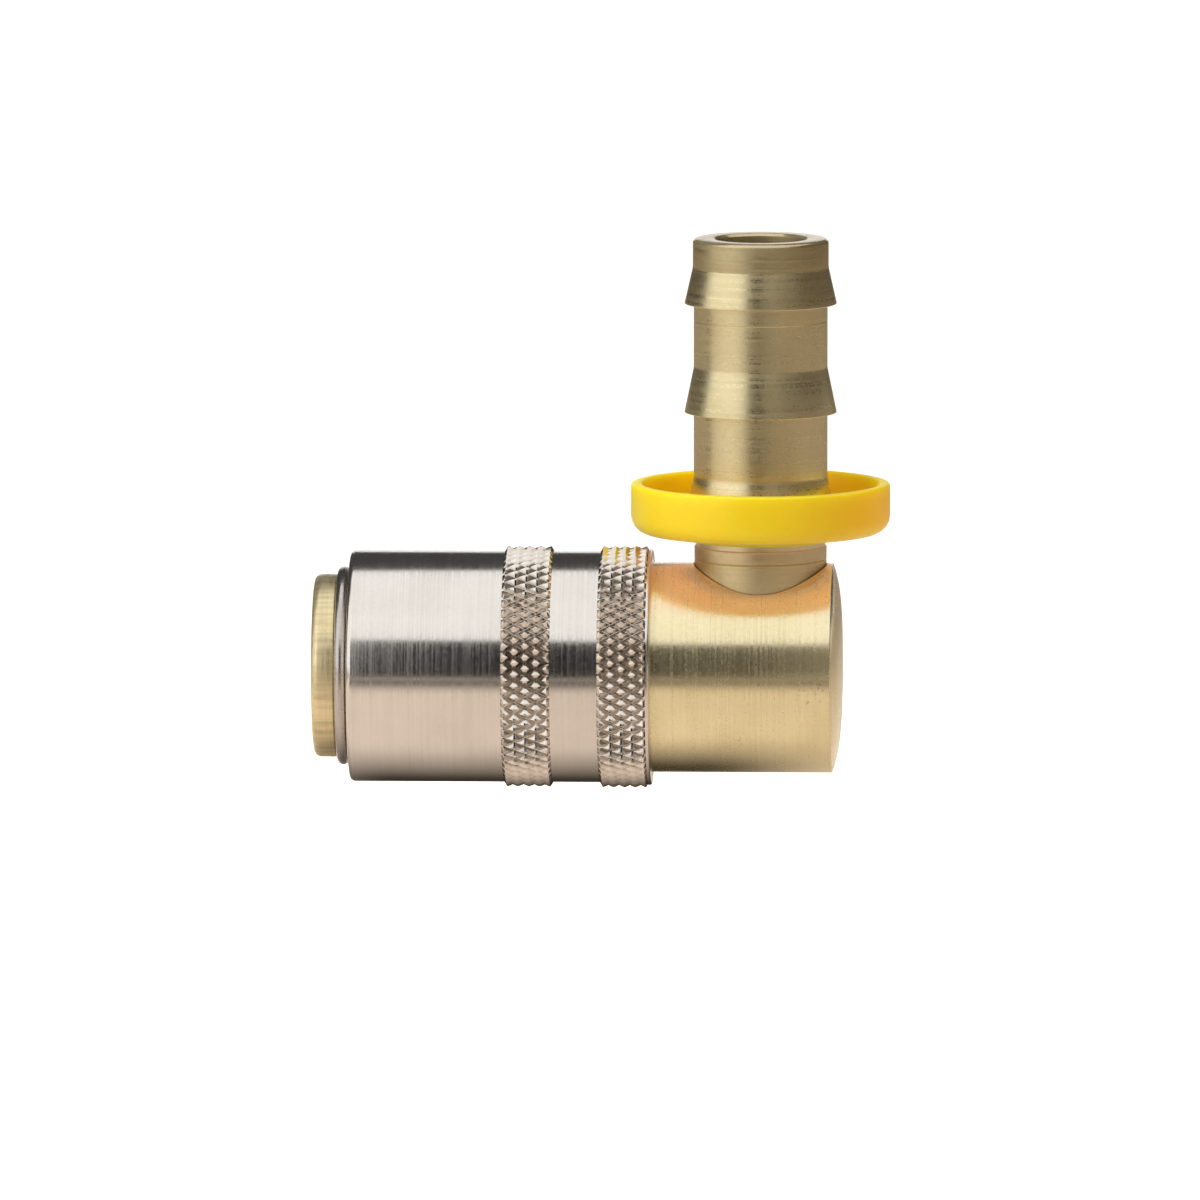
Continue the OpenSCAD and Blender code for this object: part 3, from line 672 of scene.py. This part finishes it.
# The root's tint is painted shade under the collar, the end's tint is a painted paler tone, and the
# lead-in's tint only darkens it.
root_painted_shade = (shoulder + 0.1, shoulder, 1.3, (0.90, 0.88, 0.86))
lead_in_darker = (tip_start - 0.1, tip_start, 1.5, (0.73, 0.71, 0.68))
end_painted_paler_tone = (stem_top - 0.35, stem_top - 0.2, 0.35, (1.02, 1.02, 1.07))
end_metallic = 0.75
for edge, past, rougher_by, tint in (root_painted_shade, lead_in_darker, end_painted_paler_tone):
    zone = tree.nodes.new("ShaderNodeMapRange")
    zone.inputs["From Min"].default_value = edge * MM
    zone.inputs["From Max"].default_value = past * MM
    tree.links.new(split.outputs["Z"], zone.inputs["Value"])
    rougher = tree.nodes.new("ShaderNodeMath")
    rougher.operation = "MULTIPLY_ADD"
    rougher.inputs[1].default_value = rougher_by - 1.0
    rougher.inputs[2].default_value = 1.0
    tree.links.new(zone.outputs["Result"], rougher.inputs[0])
    factor = tree.nodes.new("ShaderNodeMath")
    factor.operation = "MULTIPLY"
    tree.links.new(coarse, factor.inputs[0])
    tree.links.new(rougher.outputs["Value"], factor.inputs[1])
    coarse = factor.outputs["Value"]
    tone = tinted(tree, tone, tint, zone.outputs["Result"])
tree.links.new(coarse, shader.inputs["Roughness"])
tree.links.new(tone, shader.inputs["Base Color"])
end_zone = zone.outputs["Result"]
calm = tree.nodes.new("ShaderNodeMath")
calm.operation = "SUBTRACT"
calm.inputs[0].default_value = 1.0
tree.links.new(end_zone, calm.inputs[1])
bump = shader.inputs["Normal"].links[0].from_node
tree.links.new(calm.outputs["Value"], bump.inputs["Strength"])
satin = tree.nodes.new("ShaderNodeMapRange")
satin.inputs["To Min"].default_value = shader.inputs["Metallic"].default_value
satin.inputs["To Max"].default_value = end_metallic
tree.links.new(end_zone, satin.inputs["Value"])
tree.links.new(satin.outputs["Result"], shader.inputs["Metallic"])
stem = finished(stem_mesh, "stem_turning", stem_brass)
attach(stem, "body")
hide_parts("hose_stem")


# Hose collar: an injection-moulded cup in yellow plastic that hides the hose's cut end and
# turns freely under the lowest barb, with a rounded lower edge and a short hub.
collar_low, collar_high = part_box("hose_collar")
collar_r = collar_high.x / MM - stem_x
collar_bottom = collar_low.z / MM
collar_top = collar_high.z / MM
hub_height = 0.65
hub_r = 7.4
floor_height = 1.0
collar_wall = 1.08
collar_bore_r = neck_r + 0.07
cup_r = collar_r - collar_wall
floor_under = collar_bottom + hub_height
floor_top = floor_under + floor_height
collar_outline = [
    (collar_bottom, collar_bore_r, 0.05), (collar_bottom, hub_r, 0.2), (floor_under, hub_r, 0.1),
    (floor_under, collar_r, 1.7), (collar_top, collar_r, 0.3), (collar_top, cup_r, 0.25),
    (floor_top, cup_r, 0.7), (floor_top, collar_bore_r, 0.05),
]
collar_mesh = turned(collar_outline, segments=5)
bmesh.ops.transform(collar_mesh, matrix=upright, verts=collar_mesh.verts[:])
plastic = bpy.data.materials.new("yellow_moulding")
plastic.use_nodes = True
tree = plastic.node_tree
shader = tree.nodes["Principled BSDF"]
shader.inputs["Roughness"].default_value = 0.36
shader.inputs["IOR"].default_value = 1.5
shader.inputs["Subsurface Weight"].default_value = 1.0
shader.inputs["Subsurface Scale"].default_value = 0.0045
shader.inputs["Subsurface Radius"].default_value = (1.0, 0.55, 0.08)
place = tree.nodes.new("ShaderNodeTexCoord")
cloud = tree.nodes.new("ShaderNodeTexNoise")
cloud.inputs["Scale"].default_value = 120
cloud.inputs["Detail"].default_value = 3.0
tree.links.new(place.outputs["Object"], cloud.inputs["Vector"])
tone = tree.nodes.new("ShaderNodeMix")
tone.data_type = "RGBA"
tone.inputs["A"].default_value = (0.86, 0.635, 0.013, 1)
tone.inputs["B"].default_value = (0.84, 0.60, 0.011, 1)
tree.links.new(cloud.outputs["Fac"], tone.inputs["Factor"])
tree.links.new(tone.outputs["Result"], shader.inputs["Base Color"])
skin = tree.nodes.new("ShaderNodeTexNoise")
skin.inputs["Scale"].default_value = 1800
skin.inputs["Detail"].default_value = 3.0
tree.links.new(place.outputs["Object"], skin.inputs["Vector"])
bump = tree.nodes.new("ShaderNodeBump")
bump.inputs["Distance"].default_value = 3e-6
tree.links.new(skin.outputs["Fac"], bump.inputs["Height"])
tree.links.new(bump.outputs["Normal"], shader.inputs["Normal"])
collar = finished(collar_mesh, "collar_moulding", plastic)
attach(collar, "collar")
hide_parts("hose_collar")


# Studio, in metres: a pale warm floor, white all round for the camera and the metal, soft lamps
# overhead, to the left and behind with a small warm one at the right, and cards and patches
# that only reflections see.
floor_z = -0.085
floor_r = 3.0
part_middle_x = 0.027
floor = bmesh.new()
bmesh.ops.create_circle(floor, cap_ends=True, segments=96, radius=floor_r,
                        matrix=Matrix.Translation((0.025, 0, floor_z)))
paper = bpy.data.materials.new("floor_paper")
paper.use_nodes = True
tree = paper.node_tree
shader = tree.nodes["Principled BSDF"]
shader.inputs["Base Color"].default_value = (0.585, 0.535, 0.485, 1)
shader.inputs["Roughness"].default_value = 0.9
shader.inputs["Specular IOR Level"].default_value = 0.1
rays = tree.nodes.new("ShaderNodeLightPath")
glow = tree.nodes.new("ShaderNodeEmission")
glow.inputs["Color"].default_value = (1, 1, 1, 1)
glow.inputs["Strength"].default_value = 0.85
both = tree.nodes.new("ShaderNodeAddShader")
seen = tree.nodes.new("ShaderNodeMixShader")
tree.links.new(shader.outputs["BSDF"], both.inputs[0])
tree.links.new(glow.outputs["Emission"], both.inputs[1])
tree.links.new(rays.outputs["Is Camera Ray"], seen.inputs["Fac"])
tree.links.new(shader.outputs["BSDF"], seen.inputs[1])
tree.links.new(both.outputs["Shader"], seen.inputs[2])
tree.links.new(seen.outputs["Shader"], tree.nodes["Material Output"].inputs["Surface"])
floor = finished(floor, "floor", paper)

world = bpy.data.worlds.new("studio")
bpy.context.scene.world = world
world.use_nodes = True
tree = world.node_tree
room = tree.nodes["Background"]
room.inputs["Color"].default_value = (1.0, 0.85, 0.70, 1)
room.inputs["Strength"].default_value = 0.42
white = tree.nodes.new("ShaderNodeBackground")
white.inputs["Color"].default_value = (1, 1, 1, 1)
white.inputs["Strength"].default_value = 1.0
rays = tree.nodes.new("ShaderNodeLightPath")
either = tree.nodes.new("ShaderNodeMath")
either.operation = "MAXIMUM"
tree.links.new(rays.outputs["Is Camera Ray"], either.inputs[0])
tree.links.new(rays.outputs["Is Glossy Ray"], either.inputs[1])
any_seen = tree.nodes.new("ShaderNodeMath")
any_seen.operation = "MAXIMUM"
tree.links.new(either.outputs["Value"], any_seen.inputs[0])
tree.links.new(rays.outputs["Is Transmission Ray"], any_seen.inputs[1])
sky = tree.nodes.new("ShaderNodeMixShader")
tree.links.new(any_seen.outputs["Value"], sky.inputs["Fac"])
tree.links.new(room.outputs["Background"], sky.inputs[1])
tree.links.new(white.outputs["Background"], sky.inputs[2])
tree.links.new(sky.outputs["Shader"], tree.nodes["World Output"].inputs["Surface"])


def reflections_only(piece):
    """Hides a piece from everything but reflections."""
    piece.visible_camera = False
    piece.visible_diffuse = False
    piece.visible_shadow = False
    piece.visible_transmission = False


def studio_card(name, from_side, to_side, low, high, tone, distance=0.5):
    """A curved card round the part, by the azimuths and elevations in degrees that it spans."""
    card = bmesh.new()
    foot = card.verts.new((0, -distance, distance * math.tan(math.radians(low))))
    head = card.verts.new((0, -distance, distance * math.tan(math.radians(high))))
    card.edges.new((foot, head))
    bmesh.ops.rotate(card, verts=card.verts[:], cent=(0, 0, 0),
                     matrix=Matrix.Rotation(math.radians(from_side), 3, "Z"))
    bmesh.ops.spin(card, geom=card.verts[:] + card.edges[:], cent=(0, 0, 0), axis=(0, 0, 1),
                   dvec=(0, 0, 0), angle=math.radians(to_side - from_side), steps=24)
    bmesh.ops.translate(card, verts=card.verts[:], vec=(part_middle_x, 0, 0))
    felt = bpy.data.materials.new(name)
    felt.use_nodes = True
    shader = felt.node_tree.nodes["Principled BSDF"]
    shader.inputs["Base Color"].default_value = (0, 0, 0, 1)
    shader.inputs["Specular IOR Level"].default_value = 0.0
    shader.inputs["Roughness"].default_value = 1.0
    shader.inputs["Emission Color"].default_value = (*tone, 1)
    shader.inputs["Emission Strength"].default_value = 1.0
    card = finished(card, name, felt)
    reflections_only(card)


studio_card("front_card", -20, 7, -4.6, 31.5, (0.012, 0.013, 0.014), distance=0.95)
studio_card("front_right_card", 8, 34, -1, 31, (0.24, 0.22, 0.19))
studio_card("right_edge_card", 34, 62, -1, 31, (0.15, 0.14, 0.12))
studio_card("right_card", 62, 140, 2, 45, (0.09, 0.08, 0.065))
studio_card("back_right_card", 140, 164, 0, 61, (0.055, 0.055, 0.055))
studio_card("back_card", 164, 194, 15, 61, (0.055, 0.055, 0.055))
studio_card("back_left_card", 194, 266, 0, 61, (0.055, 0.055, 0.055))
studio_card("lamp_stand", 257, 266, -9.5, 0, (0.02, 0.02, 0.02))
studio_card("left_softbox", -88, -24, 4, 55, (1.12, 1.12, 1.10))


def shade_patch(name, middle, reach, tone, full, clear_at, cover_share=1.0):
    """A level patch seen only in reflections, whose painted tone hides its share of what is behind
    it, fading out along X and Y.
    """
    patch = bmesh.new()
    bmesh.ops.create_grid(patch, x_segments=1, y_segments=1, size=1.0,
                          matrix=Matrix.Translation(middle) @ Matrix.Diagonal((*reach, 1, 1)))
    dim = bpy.data.materials.new(name)
    dim.use_nodes = True
    tree = dim.node_tree
    painted_tone = tree.nodes.new("ShaderNodeEmission")
    painted_tone.inputs["Color"].default_value = (*tone, 1)
    clear = tree.nodes.new("ShaderNodeBsdfTransparent")
    place = tree.nodes.new("ShaderNodeTexCoord")
    split = tree.nodes.new("ShaderNodeSeparateXYZ")
    tree.links.new(place.outputs["Object"], split.inputs["Vector"])
    cover = tree.nodes.new("ShaderNodeMath")
    cover.operation = "MULTIPLY"
    for slot in range(2):
        offset = tree.nodes.new("ShaderNodeMath")
        offset.operation = "SUBTRACT"
        offset.inputs[1].default_value = middle[slot]
        tree.links.new(split.outputs[slot], offset.inputs[0])
        away = tree.nodes.new("ShaderNodeMath")
        away.operation = "ABSOLUTE"
        tree.links.new(offset.outputs["Value"], away.inputs[0])
        fade = tree.nodes.new("ShaderNodeMapRange")
        fade.interpolation_type = "SMOOTHSTEP"
        fade.inputs["From Min"].default_value = clear_at[slot]
        fade.inputs["From Max"].default_value = full[slot]
        fade.inputs["To Max"].default_value = math.sqrt(cover_share)
        tree.links.new(away.outputs["Value"], fade.inputs["Value"])
        tree.links.new(fade.outputs["Result"], cover.inputs[slot])
    both = tree.nodes.new("ShaderNodeMixShader")
    tree.links.new(cover.outputs["Value"], both.inputs["Fac"])
    tree.links.new(clear.outputs["BSDF"], both.inputs[1])
    tree.links.new(painted_tone.outputs["Emission"], both.inputs[2])
    tree.links.new(both.outputs["Shader"], tree.nodes["Material Output"].inputs["Surface"])
    patch = finished(patch, name, dim)
    reflections_only(patch)


# Painted contact shadow under the barrel, painted shade at the foot of the front card, and a
# glowing veil that paints a pale reflection of the collar's underside onto the elbow.
shade_patch("contact_shade", (0.0215, 0, -0.0122), (0.05, 0.015), (0.05, 0.039, 0.029),
            (0.0145, 0.001), (0.035, 0.0107))
shade_patch("card_shade", (0.02, -0.5, floor_z + 0.0005), (0.35, 0.32), (0.10, 0.09, 0.08),
            (0.2, 0.05), (0.35, 0.3))
under_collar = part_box("hose_collar")[0].z - 0.0001
shade_patch("collar_painted_reflection", (stem_x * MM, 0, under_collar), (0.0126, 0.0126), (1.02, 0.64, 0.72),
            (0.009, 0.009), (0.0125, 0.0125), cover_share=0.28)


def soft_lamp(name, place, size, power, colour):
    """A square soft lamp that looks at the middle of the part."""
    light = bpy.data.lights.new(name, "AREA")
    light.shape = "SQUARE"
    light.size = size
    light.energy = power
    light.color = colour
    lamp = bpy.data.objects.new(name, light)
    aim = (Vector((0.03, 0, 0.01)) - Vector(place)).to_track_quat("-Z", "Y")
    lamp.matrix_world = Matrix.Translation(place) @ aim.to_matrix().to_4x4()
    lamp.visible_glossy = False
    bpy.context.scene.collection.objects.link(lamp)


soft_lamp("overhead_lamp", (-0.17, -0.15, 0.8), 0.7, 4.1, (1.0, 0.99, 0.97))
soft_lamp("left_lamp", (-0.5, -0.56, 0.3), 0.4, 3.8, (1.0, 0.99, 0.96))
soft_lamp("right_fill", (0.42, -0.14, 0.08), 0.2, 0.22, (1.0, 0.30, 0.12))
soft_lamp("back_lamp", (-0.08, 0.6, 0.3), 0.4, 3.0, (1.0, 0.98, 0.95))

# Camera: a long lens a little above the socket's axis and just right of square on, so the
# ends of the barrel look almost flat, as in the photograph.
sensor_width = 36.0
view_width = 0.11676
view_azimuth = math.radians(2.3)
view_elevation = math.radians(6.8)
view_distance = 2.4
view_centre = Vector((0.02697, 0, 0.00653))
eye = Vector((math.sin(view_azimuth) * math.cos(view_elevation),
              -math.cos(view_azimuth) * math.cos(view_elevation), math.sin(view_elevation)))
lens = bpy.data.cameras.new("camera")
lens.sensor_width = sensor_width
lens.lens = sensor_width * view_distance / view_width
lens.clip_end = 20
camera = bpy.data.objects.new("camera", lens)
camera.matrix_world = (Matrix.Translation(view_centre + eye * view_distance)
                       @ (-eye).to_track_quat("-Z", "Y").to_matrix().to_4x4())
bpy.context.scene.collection.objects.link(camera)
bpy.context.scene.camera = camera
bpy.context.scene.view_settings.view_transform = "Standard"
